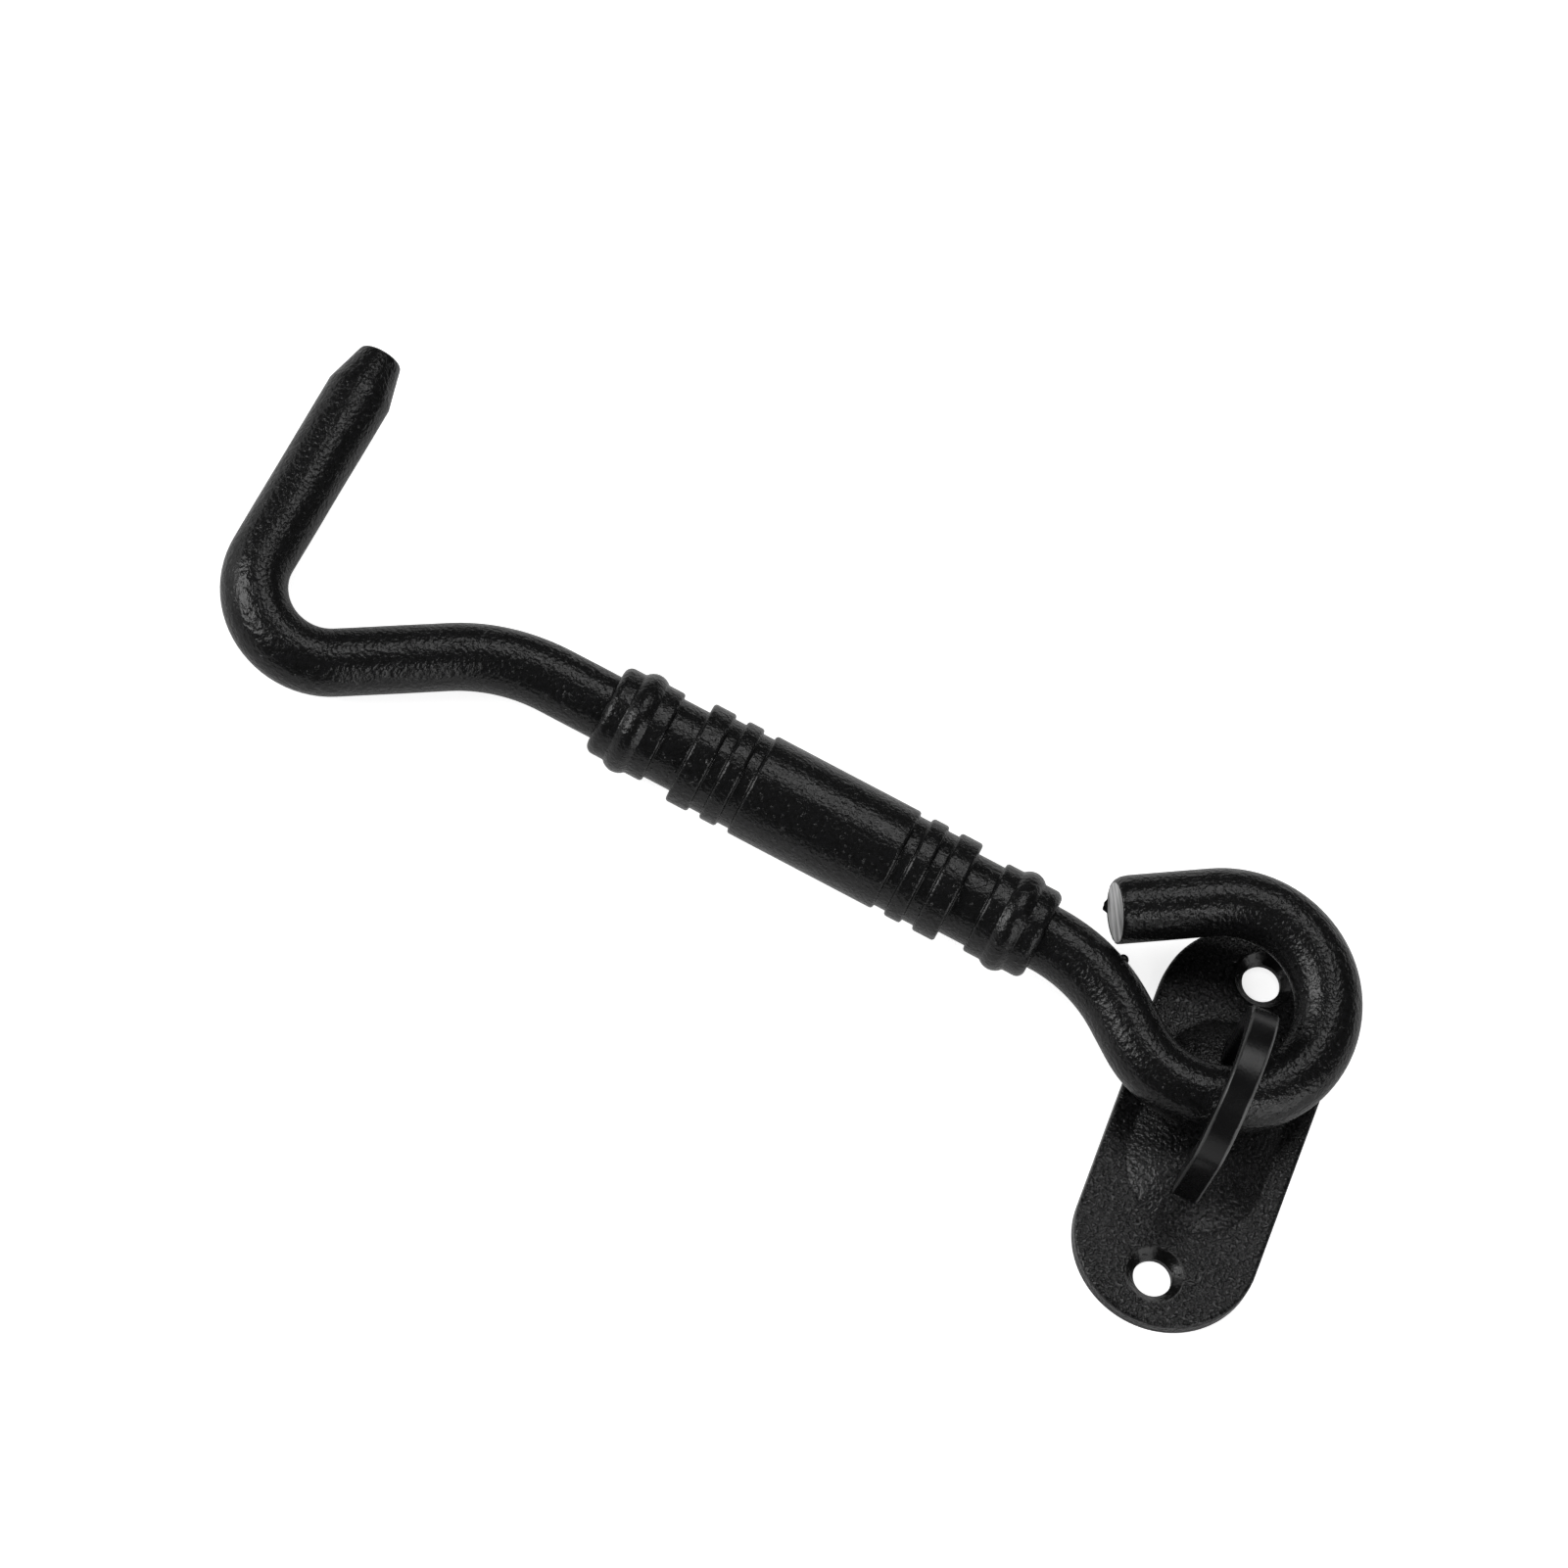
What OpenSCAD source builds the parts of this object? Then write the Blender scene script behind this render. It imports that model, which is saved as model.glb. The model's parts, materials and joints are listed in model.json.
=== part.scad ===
/* [Fixing plate] */
// Width of the plate across its straight sides
plate_w = 18.2; // [17:0.1:26]
// Thickness of the sheet
plate_t = 1.5; // [1.2:0.1:2.2]
// Radius on the plate's front edge
plate_edge = 0.4; // [0.1:0.05:0.6]
// Distance between the two screw holes
hole_pitch = 33; // [31:0.5:50]
// Distance from a screw hole's centre to the plate's end
hole_edge = 5.05; // [4:0.05:8]
// Diameter of the screw holes
hole_d = 3.8; // [3:0.1:4.5]
// Mouth diameter of the screw holes' 90 degree countersink
sink_d = 5.6; // [4.8:0.1:6]

/* [Pressed boss] */
// Width of the domed boss where it meets the plate
boss_w = 13.5; // [11:0.1:15]
// Height of the dome above the plate's front
boss_h = 2; // [1.5:0.1:2.6]
// Length of the boss beyond each leg of the staple
boss_margin = 2.75; // [2.4:0.05:4]
// Fillet between the dome and the plate
boss_fillet = 1; // [0.4:0.1:1.2]

/* [Staple] */
// Width of the staple's strip
staple_w = 2.8; // [2:0.1:3.6]
// Thickness of the staple's strip
staple_t = 2.5; // [1.8:0.1:3]
// Edge radius of the strip
staple_edge = 0.35; // [0.1:0.05:0.6]
// Clear width between the legs
staple_in_w = 12; // [10.5:0.1:15]
// Clear height from the boss to the top of the arch
staple_in_h = 12.8; // [11:0.1:18]
// Clearance round each leg in its slot through the boss
leg_fit = 0.04; // [0.02:0.01:0.1]
// Diameter of the peened heads behind the boss
head_d = 4.6; // [4.4:0.1:5]
// Depth of the peened heads' ends inside the plate's back
head_sink = 0.25; // [0.1:0.05:0.5]

/* [Hook rod] */
// Diameter of the round rod
rod_d = 6.5; // [5.5:0.1:7.2]
// Straight tail at the open end of the loop
tail_len = 9.2; // [4:0.1:12]
// Inside diameter of the loop that hangs in the staple
loop_in_d = 13.2; // [12:0.1:17]
// Angle that the loop turns through
loop_turn = 250; // [240:1:255]
// Straight neck between the loop and the shank's bend
neck_len = 3.4; // [2:0.1:8]
// Angle of the bend between the neck and the shank
neck_bend = 35.8; // [28:0.2:42]
// Inside radius of the neck's bend
neck_in_r = 13; // [8:0.5:18]
// Bare rod between the neck's bend and the grip
shank_neck_gap = 0.2; // [0.1:0.1:6]
// Bare rod between the grip and the crook's bend
shank_hook_gap = 5.4; // [0.5:0.1:15]
// Angle of the crook between the shank and the hook's seat
crook_bend = 32.2; // [20:0.1:40]
// Inside radius of the crook's bend
crook_in_r = 15.6; // [8:0.1:22]
// Straight seat of the hook, where the eye bears
seat_len = 10.9; // [6:0.1:20]
// Angle that the hook turns back through
hook_bend = 124.8; // [105:0.1:135]
// Inside radius of the hook's bend
hook_in_r = 3.83; // [3:0.01:8]
// Length of the hook's free finger, with its taper
finger_len = 23.2; // [12:0.1:32]
// Length of the taper at the finger's end
taper_len = 4.35; // [2:0.05:8]
// Diameter of the finger's flat end
tip_d = 4.25; // [3:0.05:5.4]

/* [Grip sleeve] */
// Radial fit of the sleeve on the rod
grip_fit = 0.02; // [0.01:0.01:0.05]
// Length of the plain barrel in the middle
barrel_len = 15.6; // [10:0.1:30]
// Diameter of the barrel, the bands and the collars
barrel_d = 10.34; // [10:0.02:13]
// Width of the two grooves beside each band
groove_w = 1.2; // [0.6:0.05:2]
// Diameter at the bottom of the grooves
groove_d = 9.5; // [8.8:0.1:9.8]
// Width of the narrow band
band_w = 1.8; // [1:0.1:4]
// Width of the collar
collar_w = 2.4; // [1.5:0.1:5]
// Width of the waist beyond the collar
waist_w = 2.8; // [1.5:0.1:5]
// Diameter of the waist
waist_d = 8.34; // [8:0.02:9]
// Width of the ring beside the bead
ring_w = 1.7; // [0.8:0.1:3]
// Diameter of the ring beside the bead
ring_d = 9.32; // [9.1:0.02:9.8]
// Width of the rounded bead
bead_w = 2.5; // [2:0.1:3.5]
// Diameter over the rounded bead
bead_d = 10.26; // [9.8:0.02:12]
// Width of the end collar
end_w = 1.5; // [1:0.1:4]
// Diameter of the end collar
end_d = 9.06; // [8.6:0.02:9.6]
// Chamfer on the sleeve's ends
end_chamfer = 0.5; // [0.2:0.05:0.7]
// Radius on the edges of the lands
land_edge = 0.2; // [0.05:0.05:0.3]

/* [Arm at rest] */
// Tilt of the hook rod's plane from the plate
arm_roll = 6; // [2:0.5:12]
// Turn of the shank from square to the plate
arm_yaw = -6.6; // [-15:0.1:5]
// Clearance between the loop and the boss below it
loop_gap = 0.35; // [0.2:0.05:1]
// Distance from the loop's inside to the staple's strip
strip_gap = 1.9; // [1.5:0.05:2.6]
// Distance of the loop's centre beyond the staple's upper leg
leg_shift = 2.5; // [1.5:0.05:2.8]
// Clearance between the hook's bend and the mounting surface
hook_gap = 0.05; // [0.02:0.01:0.5]

/* [Hidden] */
$fn = 64;
// Overrun of each cut past the face that it opens
cut = 0.5;
// Growth of the rod's diameter where it is bent
bend_swell = 0.01;
// Length by which a bend laps onto its straight runs
bend_lap = 0.05;
// Depth by which the boss's fillet cuts into the dome and the plate that it blends
fillet_bite = 0.01;
// Tones of the black coating
black_plate = [0.10, 0.10, 0.105];
black_strip = [0.14, 0.14, 0.145];
black_rod = [0.08, 0.08, 0.085];
black_grip = [0.09, 0.09, 0.095];

// Staple and boss, from the clear space inside the staple
leg_y = (staple_in_w + staple_t) / 2;
boss_l = staple_in_w + 2 * (staple_t + boss_margin);
boss_top = plate_t + boss_h;
arch_z = boss_top + staple_in_h - staple_in_w / 2;

// Dome of the boss: an arc over the boss's width
dome_r = (pow(boss_w / 2, 2) + pow(boss_h, 2)) / (2 * boss_h);
dome_z = boss_top - dome_r;
fillet_z = plate_t + boss_fillet - fillet_bite;
fillet_reach = dome_r + boss_fillet - fillet_bite;
fillet_x = sqrt(pow(fillet_reach, 2) - pow(fillet_z - dome_z, 2));
fillet_share = dome_r / fillet_reach;

// Plate length and the runs of straight side, from the holes and the boss
plate_l = hole_pitch + 2 * hole_edge;
plate_run = plate_l - plate_w;
boss_run = boss_l - boss_w;

// Grip from its middle outwards: where each step of one half starts
band_start = barrel_len / 2 + groove_w;
collar_start = band_start + band_w + groove_w;
ring_start = collar_start + collar_w + waist_w;
bead_start = ring_start + ring_w;
end_start = bead_start + bead_w + end_w;
grip_half = end_start + end_chamfer;
grip_bore = rod_d / 2 + grip_fit;

// Bead of the grip: an arc over its width
bead_rise = (bead_d - end_d) / 2;
bead_r = (pow(bead_w / 2, 2) + pow(bead_rise, 2)) / (2 * bead_rise);

// Bends of the rod in order: straight run, turn to the left and centreline radius
loop_r = (loop_in_d + rod_d) / 2;
shank_len = shank_neck_gap + 2 * grip_half + shank_hook_gap;
bends = [
    [tail_len, -loop_turn, loop_r],
    [neck_len, neck_bend, neck_in_r + rod_d / 2],
    [shank_len, crook_bend, crook_in_r + rod_d / 2],
    [seat_len, -hook_bend, hook_in_r + rod_d / 2]
];
// Places of the shank and of the hook in the list of bends
shank = 2;
hook = 3;

// Path of the rod in its own plane, with the loop's centre at zero and the shank along -X
function ahead(heading) = [cos(heading), sin(heading)];
function leftward(heading) = [-sin(heading), cos(heading)];
function side(i) = sign(bends[i][1]);
function heading(i) = i == 0 ? 180 - neck_bend + loop_turn : heading(i - 1) + bends[i - 1][1];
function to_centre(i, h) = side(i) * bends[i][2] * leftward(h);
function bend_centre(i) = run_start(i) + bends[i][0] * ahead(heading(i)) + to_centre(i, heading(i));
function run_start(i) = i == 0
    ? -to_centre(0, heading(0)) - tail_len * ahead(heading(0))
    : bend_centre(i - 1) - to_centre(i - 1, heading(i));

// Arm at rest: the loop on the boss, round the upper leg, and the hook's bend on the mounting surface
loop_x = -(loop_in_d / 2 - strip_gap - staple_w / 2);
loop_y = leg_y + leg_shift;
loop_z = boss_top + loop_gap + rod_d / 2 + loop_r * sin(arm_roll);
hook_centre = bend_centre(hook);

// Pitch that sets the hook's bend down, for a rod's plane tilted by a given angle
function hook_dip(tilt) = bends[hook][2] * sin(tilt) - hook_centre[1] * sin(arm_roll) + rod_d / 2;
function set_down(tilt) = asin((loop_z - hook_dip(tilt) - hook_gap) / hook_centre[0]);
arm_tilt = acos(cos(arm_roll) * cos(set_down(arm_roll)));
arm_pitch = set_down(arm_tilt);

// Round-ended solid: a half profile run along the plate and revolved at both ends
module round_ended(run) {
    for (flip = [0, 1])
        mirror([flip, 0, 0])
            rotate([90, 0, 0])
                linear_extrude(height = run, center = true)
                    children();
    for (end = [-1, 1])
        translate([0, end * run / 2, 0])
            rotate_extrude()
                children();
}

// Half profile of the flat plate, with its rounded front edge
module plate_profile() {
    square([plate_w / 2 - plate_edge, plate_t]);
    square([plate_w / 2, plate_t - plate_edge]);
    translate([plate_w / 2 - plate_edge, plate_t - plate_edge])
        circle(r = plate_edge);
}

// Half profile of a dome inset from the boss's face, above the plate's back
module dome_profile(inset) {
    intersection() {
        translate([0, dome_z])
            circle(r = dome_r - inset);
        square([boss_w, boss_top]);
    }
}

// Half profile of the fillet that blends the dome into the plate
module fillet_profile() {
    foot = [fillet_share * fillet_x, dome_z + fillet_share * (fillet_z - dome_z)];
    difference() {
        polygon([[0, plate_t / 2], [fillet_x, plate_t / 2], [fillet_x, fillet_z], foot, [0, foot[1]]]);
        translate([fillet_x, fillet_z])
            circle(r = boss_fillet);
    }
}

// Section of the staple's strip, grown by a gap
module strip_section(gap = 0) {
    wide = staple_w / 2 - staple_edge;
    deep = staple_t / 2 - staple_edge;
    edge = staple_edge + gap;
    square([2 * wide, 2 * (deep + edge)], center = true);
    square([2 * (wide + edge), 2 * deep], center = true);
    for (x = [-wide, wide], y = [-deep, deep])
        translate([x, y])
            circle(r = edge);
}

// Screw hole with its countersink
module screw_hole() {
    sink_depth = (sink_d - hole_d) / 2;
    translate([0, 0, -cut])
        cylinder(d = hole_d, h = plate_t + 2 * cut);
    translate([0, 0, plate_t - sink_depth])
        cylinder(d1 = hole_d, d2 = sink_d + 2 * cut, h = sink_depth + cut);
}

// Pressed sheet plate with a hollow boss, slots for the staple and two screw holes
module fixing_plate() {
    color(black_plate)
        difference() {
            union() {
                round_ended(plate_run)
                    plate_profile();
                round_ended(boss_run)
                    union() {
                        dome_profile(0);
                        fillet_profile();
                    }
            }
            round_ended(boss_run)
                dome_profile(plate_t);
            for (end = [-1, 1]) {
                translate([0, end * hole_pitch / 2, 0])
                    screw_hole();
                translate([0, end * leg_y, -cut])
                    linear_extrude(height = boss_top + 2 * cut)
                        strip_section(leg_fit);
            }
        }
}

// Peened end of a leg, spread against the inside of the boss
module peened_head(end) {
    intersection() {
        translate([0, end * leg_y, head_sink])
            cylinder(d = head_d, h = boss_top);
        round_ended(boss_run)
            dome_profile(plate_t + leg_fit);
    }
}

// Strip staple: a half-round arch on two straight legs
module staple() {
    color(black_strip) {
        translate([0, 0, arch_z])
            rotate([90, 0, 90])
                rotate_extrude(angle = 180)
                    translate([leg_y, 0])
                        rotate([0, 0, 90])
                            strip_section();
        for (end = [-1, 1]) {
            translate([0, end * leg_y, head_sink])
                linear_extrude(height = arch_z - head_sink)
                    strip_section();
            peened_head(end);
        }
    }
}

// Places the arm's pieces from the rod's own plane to their rest in the staple
module at_rest() {
    translate([loop_x, loop_y, loop_z])
        rotate([arm_roll, arm_pitch, arm_yaw])
            children();
}

// Places a piece at the start of a straight run, along +X
module at_run(i) {
    start = run_start(i);
    translate([start[0], start[1], 0])
        rotate([0, 0, heading(i)])
            children();
}

// Straight rod along +X
module straight(run) {
    rotate([0, 90, 0])
        cylinder(d = rod_d, h = run);
}

// Bent rod that leaves a straight run's end, and laps onto the runs at both ends
module bend(turn, r) {
    lap = bend_lap / r * 180 / PI;
    translate([0, sign(turn) * r, 0])
        rotate([0, 0, (turn > 0 ? -90 : 90 + turn) - lap])
            rotate_extrude(angle = abs(turn) + 2 * lap)
                translate([r, 0])
                    circle(d = rod_d + bend_swell);
}

// Free finger of the hook with its tapered end
module finger() {
    straight(finger_len - taper_len);
    translate([finger_len - taper_len, 0, 0])
        rotate([0, 90, 0])
            cylinder(d1 = rod_d, d2 = tip_d, h = taper_len);
}

// One bent rod: tail, loop, neck, shank, crook, seat, hook and finger
module hook_rod() {
    color(black_rod)
        at_rest() {
            for (i = [0 : len(bends) - 1])
                at_run(i) {
                    straight(bends[i][0]);
                    translate([bends[i][0], 0, 0])
                        bend(bends[i][1], bends[i][2]);
                }
            at_run(len(bends))
                finger();
        }
}

// Half profile of a raised land with rounded edges
module land_profile(start, w, d) {
    r = d / 2;
    translate([0, start]) {
        square([r - land_edge, w]);
        translate([0, land_edge])
            square([r, w - 2 * land_edge]);
        for (y = [land_edge, w - land_edge])
            translate([r - land_edge, y])
                circle(r = land_edge);
    }
}

// Turned profile of one half of the grip: the bars that its recesses show, and the lands raised on them
module grip_half_profile() {
    collar_mid = collar_start + collar_w / 2;
    ring_mid = ring_start + ring_w / 2;
    square([waist_d / 2, end_start]);
    square([groove_d / 2, collar_mid]);
    polygon([
        [0, ring_mid],
        [end_d / 2, ring_mid],
        [end_d / 2, end_start],
        [end_d / 2 - end_chamfer, grip_half],
        [0, grip_half]
    ]);
    land_profile(band_start, band_w, barrel_d);
    land_profile(collar_start, collar_w, barrel_d);
    land_profile(ring_start, ring_w, ring_d);
    translate([bead_d / 2 - bead_r, bead_start + bead_w / 2])
        circle(r = bead_r);
}

// Turned grip sleeve, bored to fit the rod
module grip_sleeve() {
    color(black_grip)
        at_rest()
            at_run(shank)
                translate([shank_neck_gap + grip_half, 0, 0])
                    rotate([0, 90, 0])
                        rotate_extrude()
                            difference() {
                                union() {
                                    land_profile(-barrel_len / 2, barrel_len, barrel_d);
                                    for (flip = [0, 1])
                                        mirror([0, flip])
                                            grip_half_profile();
                                }
                                translate([0, -grip_half - cut])
                                    square([grip_bore, 2 * (grip_half + cut)]);
                            }
}

fixing_plate();
staple();
hook_rod();
grip_sleeve();
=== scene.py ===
"""Looks of the hook and eye latch.

A black coated hook rod with a turned grip hangs in a strip staple on its plate.
"""
import json
import math

import bmesh
import bpy
from mathutils import Matrix, Vector, noise


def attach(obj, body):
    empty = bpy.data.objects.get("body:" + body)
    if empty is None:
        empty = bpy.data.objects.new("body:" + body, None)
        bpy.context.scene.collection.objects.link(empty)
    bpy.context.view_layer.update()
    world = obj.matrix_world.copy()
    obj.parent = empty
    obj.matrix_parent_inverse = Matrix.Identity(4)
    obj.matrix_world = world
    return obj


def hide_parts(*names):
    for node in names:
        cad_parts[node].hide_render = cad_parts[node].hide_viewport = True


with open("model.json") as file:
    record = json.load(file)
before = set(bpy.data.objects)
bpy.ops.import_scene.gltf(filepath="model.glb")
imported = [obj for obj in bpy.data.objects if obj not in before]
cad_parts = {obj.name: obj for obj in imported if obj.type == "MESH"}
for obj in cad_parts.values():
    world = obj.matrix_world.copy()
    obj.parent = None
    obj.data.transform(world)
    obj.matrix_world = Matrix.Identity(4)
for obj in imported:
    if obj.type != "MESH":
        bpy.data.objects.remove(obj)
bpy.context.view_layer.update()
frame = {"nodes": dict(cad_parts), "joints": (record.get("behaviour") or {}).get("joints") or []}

MM = 0.001

# Rod, as in the solids. Each bend has the straight run before it, its turn to the left and its radius
ROD_D = 6.5 * MM
ROD_R = ROD_D / 2
LOOP_R = 9.85 * MM
LOOP_ANGLE = 250
NECK_ANGLE = 35.8
BENDS = (
    (9.2 * MM, -LOOP_ANGLE, LOOP_R),
    (3.4 * MM, NECK_ANGLE, 16.25 * MM),
    (52.4 * MM, 32.2, 18.85 * MM),
    (10.9 * MM, -124.8, 7.08 * MM),
)
BENDS_BEFORE_SHANK = 2
FINGER = 18.85 * MM
TAPER = 4.35 * MM
TIP_D = 4.25 * MM
TIP_EDGE = 0.35 * MM
TIP_SEGMENTS = 4
TAIL_EDGE = 0.2 * MM
TAIL_SEGMENTS = 3
ROD_SIDES = 96
ROD_STEP = 0.6 * MM

# Places of the rod's two materials
COAT = 0
CUT_END = 1

# Sheared end of the tail: the cut slants, its outer side rolls over and a ragged burr stands on its far side
SHEAR_RUN = 1.2 * MM
CUT_SLOPE = 0.054
ROLL_DEPTH = 0.45 * MM
BURR = 0.9 * MM
BURR_RIM = 0.75 * TAIL_EDGE
BURR_GRAIN = 0.75 * MM
BURR_LEAST = 0.12

# Drops of coat on the rod: distance along it, turn about it in degrees and radius
COAT_DROPS = (
    (58.9 * MM, -105, 0.55 * MM),
    (29.8 * MM, -133, 0.4 * MM),
)
DROP_SINK = 0.3
DROP_SUBDIVISIONS = 3

# Unevenness of the rod's skin
SKIN_WAVE = 0.025 * MM
SKIN_WAVE_LENGTH = 7 * MM

# Grip sleeve: the steps of one half from its middle outwards, as width and diameter, then a bead and a collar
GRIP_GAP = 0.2 * MM
GRIP_HALF = 23.4 * MM
GRIP_BORE = 6.54 * MM
GRIP_SIDES = 128
BARREL_D = 10.34 * MM
GROOVE_D = 9.5 * MM
WAIST_D = 8.34 * MM
RING_D = 9.32 * MM
GRIP_STEPS = (
    (7.8 * MM, BARREL_D),
    (1.2 * MM, GROOVE_D),
    (1.8 * MM, BARREL_D),
    (1.2 * MM, GROOVE_D),
    (2.4 * MM, BARREL_D),
    (2.8 * MM, WAIST_D),
    (1.7 * MM, RING_D),
)
BEAD_W = 2.5 * MM
BEAD_D = 10.26 * MM
BEAD_POINTS = 9
END_D = 9.06 * MM
END_CHAMFER = 0.5 * MM

# Corners of the grip that the coat rounds, and the rings that keep its flats flat
CORNER_ANGLE = math.radians(30)
CORNER_SEGMENTS = 3
LAND_EDGE = 0.30 * MM
RECESS_EDGE = 0.10 * MM
HOLD_RUN = 0.34 * MM

# Turn of the shank on the plate. The loop's centre and plane come from the joint
ARM_YAW = math.radians(-6.6)

# Black coat: size and depth of the grain, tones of its pits and pebbles, where the pits' darker tone is
# painted shade, and roughness of the same two
ROD_GRAIN = (0.40 * MM, 0.032 * MM)
GRIP_GRAIN = (0.38 * MM, 0.028 * MM)
PLATE_GRAIN = (0.36 * MM, 0.055 * MM)
ROD_TONES_PIT_SHADED = ((0.002, 0.002, 0.002), (0.007, 0.007, 0.0074))
PLATE_TONES_PIT_SHADED = ((0.001, 0.001, 0.001), (0.012, 0.012, 0.0124))
ROD_ROUGHNESS = (0.30, 0.18)
PLATE_ROUGHNESS = (0.27, 0.14)
COAT_SPECULAR = 0.28

# Where in the noise the pebbles rise and the nibs stand out, and the waviness under them
PEBBLE_RISE = (0.35, 0.65)
NIB_RISE = (0.72, 0.8)
NIB_SIZE = 0.5 * MM
NIB_DEPTH = 0.06 * MM
WAVE_SIZE = 1.6 * MM
WAVE_DEPTH = 0.08 * MM

# Screw holes of the plate, and the share of the grain that is left in their countersinks
HOLE_PITCH = 33 * MM
SINK_R = 2.8 * MM
SINK_FADE = 0.3 * MM
SINK_GRAIN = 0.25

# Bare steel of the cut end
STEEL_TONES = ((0.38, 0.38, 0.38), (0.90, 0.90, 0.90))
STEEL_ROUGHNESS = 0.45
STREAK_SIZE = 0.9 * MM
STREAK_DETAIL = 3.0
STREAK_STRETCH = (1, 1, 0.12)
STREAK_RISE = (0.35, 0.6)
STREAK_DEPTH = 0.03 * MM

# Paint of the staple
PAINT_TONE = (0.004, 0.004, 0.0042)
PAINT_ROUGHNESS = (0.23, 0.31)
PAINT_GRAIN = (0.3 * MM, 0.012 * MM)
BLOTCH_SIZE = 1.5 * MM
BLOTCH_RISE = (0.3, 0.7)

# Painted highlight on the staple: a paler line beyond these distances from the strip's middle and from the
# arch's centre
ARCH_Z = 10.3 * MM
ARCH_R = 8.5 * MM
EDGE_GLINT_TONE = (0.09, 0.09, 0.09)
GLINT_ACROSS = (1.18 * MM, 1.26 * MM)
GLINT_REACH = (ARCH_R - 0.3 * MM, ARCH_R - 0.15 * MM)
GLINT_RAGGED = 0.15 * MM
GLINT_HALF = 1 * MM
# Share of the painted highlight left on the strip's left edge, fainter there than on the right
GLINT_LEFT_SHARE = 0.35

# Colour sockets of a mix node
MIX_FROM = 6
MIX_TO = 7
MIX_RESULT = 2

# View of the photograph: middle of the frame, direction to the camera, the image's up and the lens
VIEW_CENTRE = Vector((-50.04, 12.4, 9.0)) * MM
VIEW_BACK = Vector((-0.075, -0.434, 0.898)).normalized()
VIEW_UP = Vector((-0.385, 0.843, 0.375))
VIEW_WIDTH = 148.65 * MM
VIEW_DISTANCE = 4.0
SENSOR = 36.0

# Soft lights: direction from the middle of the view, distance, width and height, and power
SOFT_BOXES = (
    ("left_box", (-0.80, -0.215, 0.56), 0.9, (0.55, 0.55), 6.3),
    ("overhead_box", (0.02, 0.42, 0.91), 0.9, (0.45, 0.45), 2.1),
    ("right_box", (0.83, -0.52, 0.215), 0.9, (0.75, 0.48), 2.9),
    ("front_box", (0.582, -0.512, 0.633), 0.33, (0.10, 0.07), 0.16),
    ("side_panel", (-0.98, 0.14, 0.12), 0.9, (0.60, 0.22), 0.6),
)
WHITE = (1, 1, 1, 1)
WORLD_STRENGTH = 0.08

# Floor, with its own glow where the camera sees it and where the latch mirrors it
FLOOR_SIZE = 12.0
FLOOR_DROP = 0.05 * MM
FLOOR_TONE = (0.8, 0.8, 0.8, 1)
FLOOR_ROUGHNESS = 0.9
SEEN_GLOW = 0.8
MIRRORED_GLOW = 0.1


def arm_place():
    """Matrix from the rod's own plane, with the loop's centre at zero and the shank along -X, to its rest."""
    joint = frame["joints"][0]
    level = Matrix.Rotation(-ARM_YAW, 3, "Z") @ -Vector(joint["axis"])
    pitch = math.atan2(level.x, level.z)
    roll = -math.asin(level.y)
    turn = Matrix.Rotation(ARM_YAW, 4, "Z") @ Matrix.Rotation(pitch, 4, "Y") @ Matrix.Rotation(roll, 4, "X")
    return Matrix.Translation(joint["pos_m"]) @ turn


def ahead(heading):
    """Unit vector along a heading in the rod's plane."""
    return Vector((math.cos(heading), math.sin(heading), 0))


def leftward(heading):
    """Unit vector to the left of a heading in the rod's plane."""
    return Vector((-math.sin(heading), math.cos(heading), 0))


def rod_start():
    """Start of the tail and its heading, with the loop's centre at zero and the shank along -X."""
    heading = math.radians(180 - NECK_ANGLE + LOOP_ANGLE)
    return LOOP_R * leftward(heading) - BENDS[0][0] * ahead(heading), heading


def shank_start():
    """Start of the shank and its heading, past the tail, the loop and the neck."""
    start, heading = rod_start()
    for length, angle, radius in BENDS[:BENDS_BEFORE_SHANK]:
        start += length * ahead(heading)
        pivot = start + math.copysign(radius, angle) * leftward(heading)
        start = pivot + Matrix.Rotation(math.radians(angle), 3, "Z") @ (start - pivot)
        heading += math.radians(angle)
    return start, heading


def round_edges(bm, edges, offset, segments):
    """Rounds edges and gives the vertices of the rounding."""
    made = bmesh.ops.bevel(
        bm, geom=edges, offset=offset, segments=segments, profile=0.5, affect="EDGES", material=-1,
    )
    return made["verts"]


def finish_piece(name, bm, place, body, node, materials):
    """Puts a modelled piece in its place on its body, with its own coordinates kept for its finish."""
    own = bm.verts.layers.float_vector.get("own")
    if own is None:
        own = bm.verts.layers.float_vector.new("own")
        for vert in bm.verts:
            vert[own] = vert.co
    bmesh.ops.transform(bm, matrix=place, verts=bm.verts)
    bmesh.ops.recalc_face_normals(bm, faces=bm.faces)
    for face in bm.faces:
        face.smooth = True
    mesh = bpy.data.meshes.new(name)
    bm.to_mesh(mesh)
    bm.free()
    for material in materials:
        mesh.materials.append(material)
    piece = bpy.data.objects.new(name, mesh)
    bpy.context.scene.collection.objects.link(piece)
    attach(piece, body)
    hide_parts(node)


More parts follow.
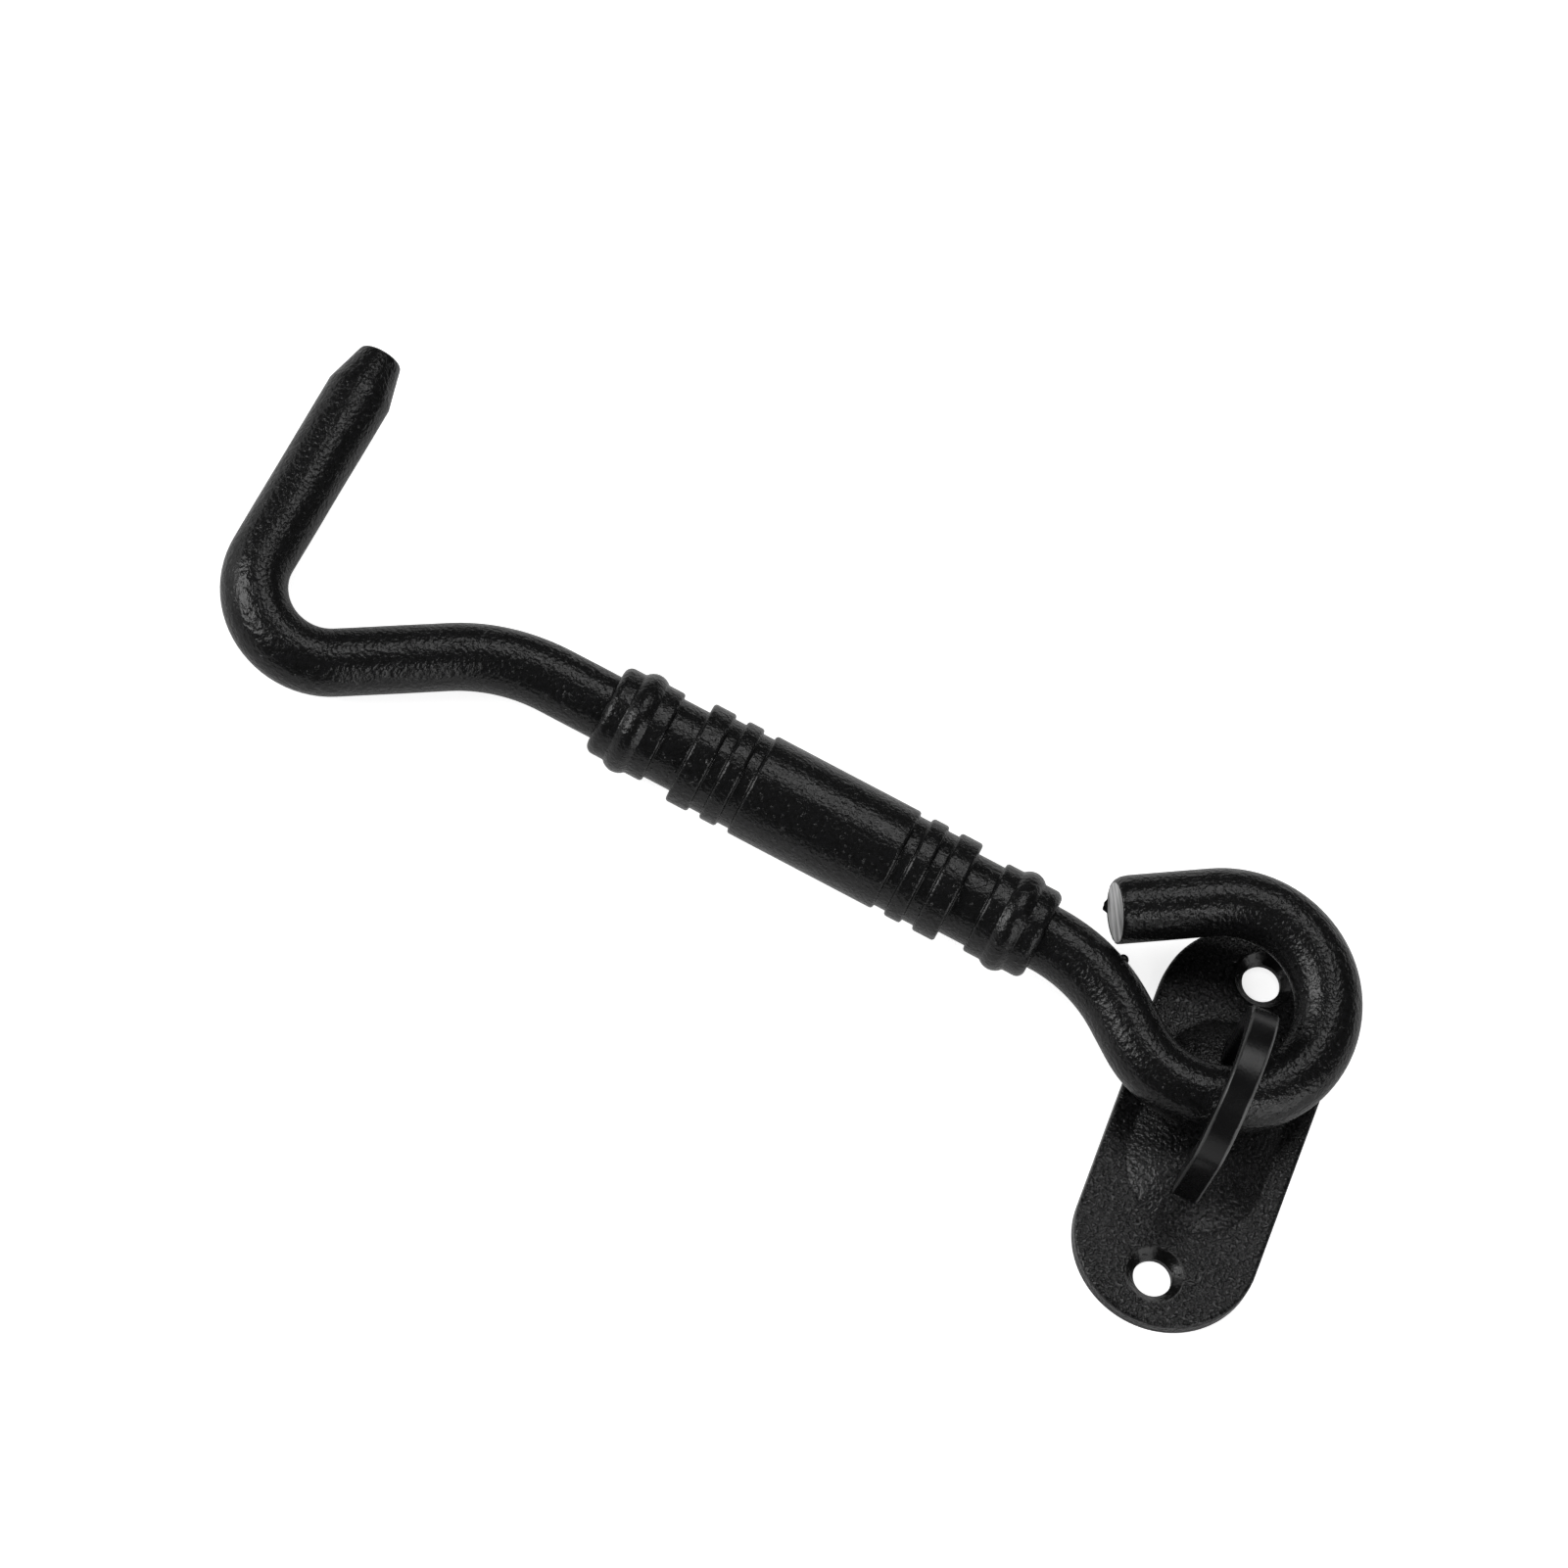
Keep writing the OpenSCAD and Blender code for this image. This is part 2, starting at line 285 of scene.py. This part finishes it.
class RodSweep:
    """A ring of rod that is drawn along straight runs and bends, and leaves the rod's skin behind it."""

    def __init__(self, start, heading):
        self.bm = bmesh.new()
        self.own = self.bm.verts.layers.float_vector.new("own")
        self.heading = heading
        self.centre = start.copy()
        self.length = 0.0
        self.ring = bmesh.ops.create_circle(self.bm, segments=ROD_SIDES, radius=ROD_R)["verts"]
        for vert in self.ring:
            vert[self.own] = (0, vert.co.x, vert.co.y)
        upright = Matrix.Rotation(heading, 4, "Z") @ Matrix.Rotation(math.pi / 2, 4, "Y")
        bmesh.ops.transform(self.bm, matrix=Matrix.Translation(start) @ upright, verts=self.ring)
        self.edges = list(self.bm.edges)

    def grow(self, step):
        """Extrudes the ring in place and notes how far along the rod the new ring lies."""
        made = bmesh.ops.extrude_edge_only(self.bm, edges=self.edges)["geom"]
        self.ring = [item for item in made if isinstance(item, bmesh.types.BMVert)]
        new = set(self.ring)
        self.edges = [
            item for item in made
            if isinstance(item, bmesh.types.BMEdge) and set(item.verts) <= new
        ]
        self.length += step
        for vert in self.ring:
            vert[self.own].x = self.length

    def run(self, length):
        """Draws the ring straight on."""
        steps = max(1, round(length / ROD_STEP))
        for _ in range(steps):
            self.grow(length / steps)
            move = ahead(self.heading) * (length / steps)
            bmesh.ops.translate(self.bm, vec=move, verts=self.ring)
            self.centre += move

    def bend(self, angle, radius):
        """Draws the ring round a bend, to the left where the angle in degrees is above zero."""
        angle = math.radians(angle)
        pivot = self.centre + math.copysign(radius, angle) * leftward(self.heading)
        steps = round(abs(angle) * radius / ROD_STEP)
        turn = Matrix.Rotation(angle / steps, 3, "Z")
        for _ in range(steps):
            self.grow(abs(angle) * radius / steps)
            bmesh.ops.rotate(self.bm, cent=pivot, matrix=turn, verts=self.ring)
            self.centre = pivot + turn @ (self.centre - pivot)
        self.heading += angle

    def taper(self, length, end_d):
        """Draws the ring straight on while it narrows to its end diameter."""
        steps = round(length / ROD_STEP)
        width = ROD_D
        for i in range(1, steps + 1):
            self.run(length / steps)
            new_width = ROD_D + (end_d - ROD_D) * i / steps
            share = new_width / width
            about = Matrix.Translation(-self.centre)
            bmesh.ops.scale(self.bm, vec=(share,) * 3, space=about, verts=self.ring)
            width = new_width


def shear_tail(bm, own, rim):
    """Marks of the shear on the tail's end: a ragged burr, a rolled outer side and a slanted cut."""
    start, heading = rod_start()
    along = ahead(heading)
    outward = leftward(heading)
    for vert in rim:
        if not vert.is_valid:
            continue
        off = vert.co - start
        depth = off.dot(along)
        inset = ROD_R - (off - depth * along).length
        if max(depth, inset) < BURR_RIM:
            far = max(0.0, -off.z / ROD_R)
            ragged = max(BURR_LEAST, noise.noise(vert.co / BURR_GRAIN))
            vert.co -= along * BURR * far * ragged
    for vert in bm.verts:
        left = 1 - vert[own].x / SHEAR_RUN
        if left > 0:
            side = max(0.0, (vert.co - start).dot(outward) / ROD_R)
            vert.co -= outward * ROLL_DEPTH * side * left ** 2
            vert.co += along * CUT_SLOPE * (vert.co.z - ROD_R) * left


def add_drop(bm, own, along, turn, size):
    """A drop of coat that stands on the rod's skin, partly sunk in it."""
    turn = math.radians(turn)
    spot = Vector((along, ROD_R * math.cos(turn), ROD_R * math.sin(turn)))
    host = min(bm.verts, key=lambda vert: (vert[own] - spot).length)
    centre = host.co - host.normal * DROP_SINK * size
    made = bmesh.ops.create_icosphere(
        bm, subdivisions=DROP_SUBDIVISIONS, radius=size, matrix=Matrix.Translation(centre),
    )
    for vert in made["verts"]:
        vert[own] = spot + vert.co - centre


def model_rod(materials):
    """One bent rod: tail, loop, neck, shank, crook, seat, hook and finger with a tapered end."""
    sweep = RodSweep(*rod_start())
    bm = sweep.bm
    tail = list(sweep.edges)
    for length, angle, radius in BENDS:
        sweep.run(length)
        sweep.bend(angle, radius)
    sweep.run(FINGER)
    sweep.taper(TAPER, TIP_D)
    tip = list(sweep.edges)
    for face in bmesh.ops.contextual_create(bm, geom=tail)["faces"]:
        face.material_index = CUT_END
    bmesh.ops.contextual_create(bm, geom=tip)
    round_edges(bm, tip, TIP_EDGE, TIP_SEGMENTS)
    rim = round_edges(bm, tail, TAIL_EDGE, TAIL_SEGMENTS)
    # The rounding takes the cut's material from the end face, and gets the coat back
    for face in bm.faces:
        if len(face.verts) != ROD_SIDES:
            face.material_index = COAT
    shear_tail(bm, sweep.own, rim)
    bm.normal_update()
    for vert in bm.verts:
        vert.co += vert.normal * SKIN_WAVE * noise.noise(vert[sweep.own] / SKIN_WAVE_LENGTH)
    for along, turn, size in COAT_DROPS:
        add_drop(bm, sweep.own, along, turn, size)
    finish_piece("coated_rod", bm, arm_place(), "arm", "hook_rod", materials)


def bead_arc(middle):
    """Round of the bead, from the ring's radius up to its crown and down to the end collar's radius."""
    bead_r = ((BEAD_W / 2) ** 2 + ((BEAD_D - END_D) / 2) ** 2) / (BEAD_D - END_D)
    first = -math.acos(1 - (BEAD_D - RING_D) / 2 / bead_r)
    last = math.acos(1 - (BEAD_D - END_D) / 2 / bead_r)
    angles = [first + (last - first) * i / (BEAD_POINTS - 1) for i in range(BEAD_POINTS)]
    return [(middle + bead_r * math.sin(a), BEAD_D / 2 - bead_r * (1 - math.cos(a))) for a in angles]


def grip_outline():
    """Outline of the turned sleeve from one end to the other, as distance from its middle and radius."""
    half = []
    at = 0.0
    for width, diameter in GRIP_STEPS:
        half += [(at, diameter / 2), (at + width, diameter / 2)]
        at += width
    half = half[1:-1] + bead_arc(at + BEAD_W / 2) + [
        (GRIP_HALF - END_CHAMFER, END_D / 2),
        (GRIP_HALF, END_D / 2 - END_CHAMFER),
        (GRIP_HALF, GRIP_BORE / 2),
    ]
    return [(-x, r) for x, r in reversed(half)] + half


def soften_corners(bm):
    """Rounds the grip's lands and, less, the recesses between them, as the coat leaves them."""
    for turn, size in ((1, LAND_EDGE), (-1, RECESS_EDGE)):
        bm.normal_update()
        sharp = [
            edge for edge in bm.edges
            if turn * edge.calc_face_angle_signed(0) > CORNER_ANGLE
            and edge.verts[0].co.yz.length > GRIP_BORE / 2 + LAND_EDGE
        ]
        round_edges(bm, sharp, size, CORNER_SEGMENTS)


def hold_flats(bm):
    """Cuts a ring close beside each step, so that the flats between the soft corners shade as flats."""
    at = 0.0
    for width, _ in GRIP_STEPS[:-1]:
        at += width
        for x in (-at - HOLD_RUN, -at + HOLD_RUN, at - HOLD_RUN, at + HOLD_RUN):
            whole = bm.verts[:] + bm.edges[:] + bm.faces[:]
            bmesh.ops.bisect_plane(bm, geom=whole, plane_co=(x, 0, 0), plane_no=(1, 0, 0))


def model_grip(materials):
    """Turned sleeve on the shank: an outline spun about the shank, with its corners softened by the coat."""
    bm = bmesh.new()
    corners = [bm.verts.new((x, r, 0)) for x, r in grip_outline()]
    for a, b in zip(corners, corners[1:] + corners[:1]):
        bm.edges.new((a, b))
    bmesh.ops.spin(
        bm, geom=bm.verts[:] + bm.edges[:], cent=(0, 0, 0), axis=(1, 0, 0),
        angle=math.tau, steps=GRIP_SIDES, use_merge=True,
    )
    bmesh.ops.recalc_face_normals(bm, faces=bm.faces)
    soften_corners(bm)
    hold_flats(bm)
    start, heading = shank_start()
    middle = start + (GRIP_GAP + GRIP_HALF) * ahead(heading)
    place = arm_place() @ Matrix.Translation(middle)
    finish_piece("turned_grip", bm, place, "arm", "grip_sleeve", materials)


class Finish:
    """A node material with one main shader, and short ways to add and join nodes."""

    def __init__(self, name):
        self.material = bpy.data.materials.new(name)
        self.material.use_nodes = True
        self.tree = self.material.node_tree
        self.shader = self.tree.nodes["Principled BSDF"]

    def add(self, kind, **values):
        """A new node with its settings."""
        node = self.tree.nodes.new(kind)
        for key, value in values.items():
            setattr(node, key, value)
        return node

    def join(self, source, target):
        """A link from one socket to another."""
        self.tree.links.new(source, target)

    def vary(self, name, source):
        """Lets a node's output set one of the shader's values over the surface."""
        self.join(source, self.shader.inputs[name])

    def fix(self, name, value):
        """Sets one of the shader's values for the whole surface."""
        self.shader.inputs[name].default_value = value

    def place(self, own):
        """Coordinates of the pattern: the piece's own ones, straightened along the rod, or the object's."""
        if own:
            return self.add("ShaderNodeAttribute", attribute_name="own").outputs["Vector"]
        return self.add("ShaderNodeTexCoord").outputs["Object"]

    def axes(self, place):
        """The three numbers of a place."""
        node = self.add("ShaderNodeSeparateXYZ")
        self.join(place, node.inputs["Vector"])
        return node.outputs["X"], node.outputs["Y"], node.outputs["Z"]

    def stretched(self, place, scale):
        """A place with each axis scaled."""
        node = self.add("ShaderNodeMapping")
        node.inputs["Scale"].default_value = scale
        self.join(place, node.inputs["Vector"])
        return node.outputs["Vector"]

    def grain(self, place, size, detail=2.0):
        """Noise with grains of a given size in metres."""
        node = self.add("ShaderNodeTexNoise")
        node.inputs["Scale"].default_value = 1 / size
        node.inputs["Detail"].default_value = detail
        self.join(place, node.inputs["Vector"])
        return node.outputs["Fac"]

    def ramp(self, fac, low, high, start=0, end=1):
        """A number that goes from start to end as fac goes from low to high."""
        node = self.add("ShaderNodeMapRange")
        for key, value in (("From Min", low), ("From Max", high), ("To Min", start), ("To Max", end)):
            node.inputs[key].default_value = value
        self.join(fac, node.inputs["Value"])
        return node.outputs["Result"]

    def calc(self, operation, a, b=0.0):
        """One sum on sockets or plain numbers."""
        node = self.add("ShaderNodeMath", operation=operation)
        for socket, value in zip(node.inputs, (a, b)):
            if isinstance(value, (int, float)):
                socket.default_value = value
            else:
                self.join(value, socket)
        return node.outputs["Value"]

    def distance(self, a, b):
        """Distance from zero of a point with two coordinates."""
        return self.calc("SQRT", self.calc("ADD", self.calc("POWER", a, 2), self.calc("POWER", b, 2)))

    def bump(self, height, distance, normal=None):
        """Relief of a given depth, on top of an earlier relief if there is one."""
        node = self.add("ShaderNodeBump")
        node.inputs["Strength"].default_value = 1.0
        node.inputs["Distance"].default_value = distance
        self.join(height, node.inputs["Height"])
        if normal is not None:
            self.join(normal, node.inputs["Normal"])
        return node.outputs["Normal"]

    def mix(self, fac, first, second):
        """A colour between two tones."""
        node = self.add("ShaderNodeMix", data_type="RGBA")
        self.join(fac, node.inputs[0])
        node.inputs[MIX_FROM].default_value = (*first, 1)
        node.inputs[MIX_TO].default_value = (*second, 1)
        return node.outputs[MIX_RESULT]


def screw_seats(finish, place):
    """Share of the grain that is left: little in the countersinks, where the coat lies smooth, else all."""
    x, y, _ = finish.axes(place)
    along = finish.calc("SUBTRACT", finish.calc("ABSOLUTE", y), HOLE_PITCH / 2)
    return finish.ramp(finish.distance(x, along), SINK_R, SINK_R + SINK_FADE, SINK_GRAIN, 1)


def powder_coat(name, own, grain, tones, roughness, calm=None):
    """Black powder coat: flat pebbles with duller pits between them, whose darker tone is painted shade, and
    a few nibs, over a soft waviness.
    """
    grain_size, grain_depth = grain
    finish = Finish(name)
    place = finish.place(own)
    pebbles = finish.ramp(finish.grain(place, grain_size), *PEBBLE_RISE)
    if calm:
        pebbles = finish.calc("MULTIPLY", pebbles, calm(finish, place))
    nibs = finish.ramp(finish.grain(place, NIB_SIZE, detail=0), *NIB_RISE)
    relief = finish.bump(finish.grain(place, WAVE_SIZE), WAVE_DEPTH)
    relief = finish.bump(pebbles, grain_depth, relief)
    relief = finish.bump(nibs, NIB_DEPTH, relief)
    finish.vary("Normal", relief)
    # Painted shade: the pits take the darker tone, standing in for the grain's shading
    finish.vary("Base Color", finish.mix(pebbles, *tones))
    finish.vary("Roughness", finish.ramp(pebbles, 0, 1, *roughness))
    finish.fix("Specular IOR Level", COAT_SPECULAR)
    return finish.material


def cut_steel(name):
    """Sheared end of the rod's tail: bare steel with shear streaks."""
    finish = Finish(name)
    place = finish.stretched(finish.place(own=True), STREAK_STRETCH)
    streaks = finish.grain(place, STREAK_SIZE, STREAK_DETAIL)
    finish.vary("Base Color", finish.mix(finish.ramp(streaks, *STREAK_RISE), *STEEL_TONES))
    finish.vary("Normal", finish.bump(streaks, STREAK_DEPTH))
    finish.fix("Metallic", 1.0)
    finish.fix("Roughness", STEEL_ROUGHNESS)
    return finish.material


def strip_paint(name):
    """Smooth black paint of the staple, with a painted highlight: a paler line along the strip's outer
    corners, fainter on the left.
    """
    finish = Finish(name)
    place = finish.place(own=False)
    grain_size, grain_depth = PAINT_GRAIN
    blotches = finish.grain(place, BLOTCH_SIZE)
    x, y, z = finish.axes(place)
    across = finish.calc("ADD", finish.calc("ABSOLUTE", x), finish.calc("MULTIPLY", blotches, GLINT_RAGGED))
    rise = finish.calc("MAXIMUM", finish.calc("SUBTRACT", z, ARCH_Z), 0)
    corner = finish.ramp(across, *GLINT_ACROSS)
    outer = finish.ramp(finish.distance(y, rise), *GLINT_REACH)
    side = finish.ramp(x, -GLINT_HALF, GLINT_HALF, GLINT_LEFT_SHARE, 1)
    # Painted highlight: the paler tone on the outer corners stands in for their glint
    glint = finish.calc("MULTIPLY", finish.calc("MULTIPLY", corner, outer), side)
    finish.vary("Base Color", finish.mix(glint, PAINT_TONE, EDGE_GLINT_TONE))
    finish.vary("Normal", finish.bump(finish.grain(place, grain_size), grain_depth))
    finish.vary("Roughness", finish.ramp(blotches, *BLOTCH_RISE, *PAINT_ROUGHNESS))
    finish.fix("Specular IOR Level", COAT_SPECULAR)
    return finish.material


def dress(node, material):
    """Gives a CAD node its finish in every material slot."""
    for slot in frame["nodes"][node].material_slots:
        slot.material = material


def soft_box(name, direction, distance, size, power):
    """Rectangular soft light that faces the middle of the view."""
    lamp = bpy.data.lights.new(name, "AREA")
    lamp.shape = "RECTANGLE"
    lamp.size, lamp.size_y = size
    lamp.energy = power
    light = bpy.data.objects.new(name, lamp)
    aim = Vector(direction).normalized()
    light.location = VIEW_CENTRE + aim * distance
    light.rotation_mode = "QUATERNION"
    light.rotation_quaternion = (-aim).to_track_quat("-Z", "Y")
    bpy.context.scene.collection.objects.link(light)


def floor_white():
    """White of the floor: its glow whitens it to the camera and a little in the latch's gloss."""
    finish = Finish("floor_white")
    finish.fix("Base Color", FLOOR_TONE)
    finish.fix("Roughness", FLOOR_ROUGHNESS)
    finish.fix("Specular IOR Level", 0.0)
    finish.fix("Emission Color", WHITE)
    path = finish.add("ShaderNodeLightPath").outputs
    mirrored = finish.calc("MAXIMUM", path["Is Glossy Ray"], path["Is Transmission Ray"])
    mirrored_glow = finish.calc("MULTIPLY", mirrored, MIRRORED_GLOW)
    seen_glow = finish.calc("MULTIPLY", path["Is Camera Ray"], SEEN_GLOW)
    finish.vary("Emission Strength", finish.calc("MAXIMUM", seen_glow, mirrored_glow))
    return finish.material


def lay_floor():
    """Plain pale floor that the latch lies on, with the latch's soft shadow."""
    bm = bmesh.new()
    bmesh.ops.create_grid(bm, x_segments=1, y_segments=1, size=FLOOR_SIZE / 2)
    bmesh.ops.translate(bm, vec=(0, 0, -FLOOR_DROP), verts=bm.verts)
    mesh = bpy.data.meshes.new("floor")
    bm.to_mesh(mesh)
    bm.free()
    mesh.materials.append(floor_white())
    floor = bpy.data.objects.new("floor", mesh)
    bpy.context.scene.collection.objects.link(floor)


def set_camera():
    """Far camera at the photograph's angle."""
    data = bpy.data.cameras.new("camera")
    data.sensor_width = SENSOR
    data.lens = SENSOR * VIEW_DISTANCE / VIEW_WIDTH
    camera = bpy.data.objects.new("camera", data)
    right = VIEW_UP.cross(VIEW_BACK).normalized()
    up = VIEW_BACK.cross(right)
    turn = Matrix((right, up, VIEW_BACK)).transposed().to_4x4()
    camera.matrix_world = Matrix.Translation(VIEW_CENTRE + VIEW_BACK * VIEW_DISTANCE) @ turn
    bpy.context.scene.collection.objects.link(camera)
    bpy.context.scene.camera = camera


def set_world():
    """Weak even light from all sides."""
    world = bpy.data.worlds.new("studio")
    world.use_nodes = True
    background = world.node_tree.nodes["Background"]
    background.inputs["Color"].default_value = WHITE
    background.inputs["Strength"].default_value = WORLD_STRENGTH
    bpy.context.scene.world = world


set_camera()
set_world()
lay_floor()
for box in SOFT_BOXES:
    soft_box(*box)

rod_coat = powder_coat("rod_coat", True, ROD_GRAIN, ROD_TONES_PIT_SHADED, ROD_ROUGHNESS)
grip_coat = powder_coat("grip_coat", True, GRIP_GRAIN, ROD_TONES_PIT_SHADED, ROD_ROUGHNESS)
plate_coat = powder_coat("plate_coat", False, PLATE_GRAIN, PLATE_TONES_PIT_SHADED, PLATE_ROUGHNESS, calm=screw_seats)
model_rod((rod_coat, cut_steel("cut_end")))
model_grip((grip_coat,))
dress("fixing_plate", plate_coat)
dress("staple", strip_paint("strip_paint"))

bpy.context.scene.view_settings.view_transform = "Standard"
